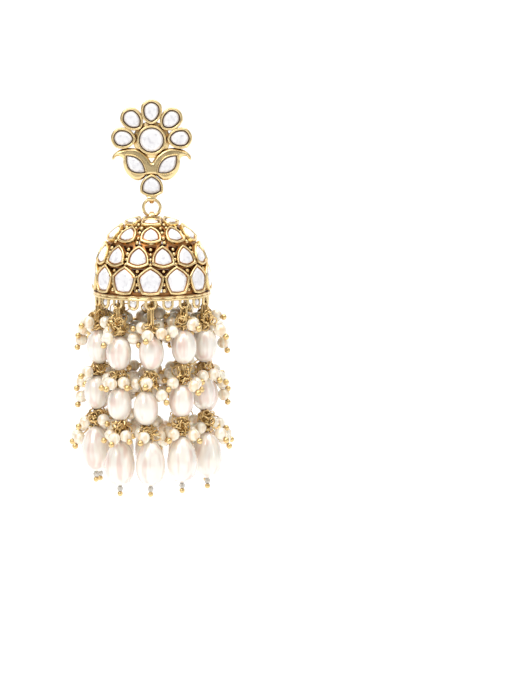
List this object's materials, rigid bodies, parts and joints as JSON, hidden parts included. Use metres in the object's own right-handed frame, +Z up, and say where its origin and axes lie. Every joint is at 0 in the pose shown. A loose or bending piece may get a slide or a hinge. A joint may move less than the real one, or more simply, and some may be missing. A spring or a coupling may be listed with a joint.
{
  "type": "jhumka earring",
  "caption": "Drop earring with a stone-set flower stud, a swing ring, a pierced stone-set dome and strands of pearls hanging from its rim.",
  "frame": {"origin": "seat of the ear post on the flat back of the flower stud, behind its centre stone", "axes": "+Z up along the hanging earring, +Y backwards along the ear post, the front faces -Y"},
  "size_m": [0.0309, 0.0305, 0.0864],
  "materials": {
    "gold": "polished champagne gold plating over cast brass",
    "strand_gold": "fine gold-plated wire and chain",
    "pearl": "cream pearl lustre",
    "stone": "flat cut white stone on silver foil"
  },
  "bodies": {
    "stud": {"stud_frame": "gold", "ear_post": "gold", "centre_stone": "stone", "petal_1_stone": "stone", "petal_2_stone": "stone", "petal_3_stone": "stone", "petal_4_stone": "stone", "petal_5_stone": "stone", "leaf_left_stone": "stone", "leaf_right_stone": "stone", "drop_stone": "stone"},
    "ring": {"swing_ring": "gold"},
    "hanging_dome": {"dome": "gold", "strand_chain_01": "strand_gold", "strand_chain_02": "strand_gold", "strand_chain_03": "strand_gold", "strand_chain_04": "strand_gold", "strand_chain_05": "strand_gold", "strand_chain_06": "strand_gold", "strand_chain_07": "strand_gold", "strand_chain_08": "strand_gold", "strand_chain_09": "strand_gold", "strand_chain_10": "strand_gold", "upper_pearl_01": "pearl", "upper_pearl_02": "pearl", "upper_pearl_03": "pearl", "upper_pearl_04": "pearl", "upper_pearl_05": "pearl", "upper_pearl_06": "pearl", "upper_pearl_07": "pearl", "upper_pearl_08": "pearl", "upper_pearl_09": "pearl", "upper_pearl_10": "pearl", "middle_pearl_01": "pearl", "middle_pearl_02": "pearl", "middle_pearl_03": "pearl", "middle_pearl_04": "pearl", "middle_pearl_05": "pearl", "middle_pearl_06": "pearl", "middle_pearl_07": "pearl", "middle_pearl_08": "pearl", "middle_pearl_09": "pearl", "middle_pearl_10": "pearl", "drop_pearl_01": "pearl", "drop_pearl_02": "pearl", "drop_pearl_03": "pearl", "drop_pearl_04": "pearl", "drop_pearl_05": "pearl", "drop_pearl_06": "pearl", "drop_pearl_07": "pearl", "drop_pearl_08": "pearl", "drop_pearl_09": "pearl", "drop_pearl_10": "pearl"}
  },
  "joints": [
    {"name": "ring_swing", "type": "hinge", "parent": "stud", "child": "ring", "pos_m": [0, -0.00088, -0.01304], "axis": [1, 0, 0], "range_deg": [-50, 50]},
    {"name": "dome_swing", "type": "hinge", "parent": "ring", "child": "hanging_dome", "pos_m": [0, -0.00088, -0.01484], "axis": [0, 1, 0], "range_deg": [-45, 45]}
  ]
}
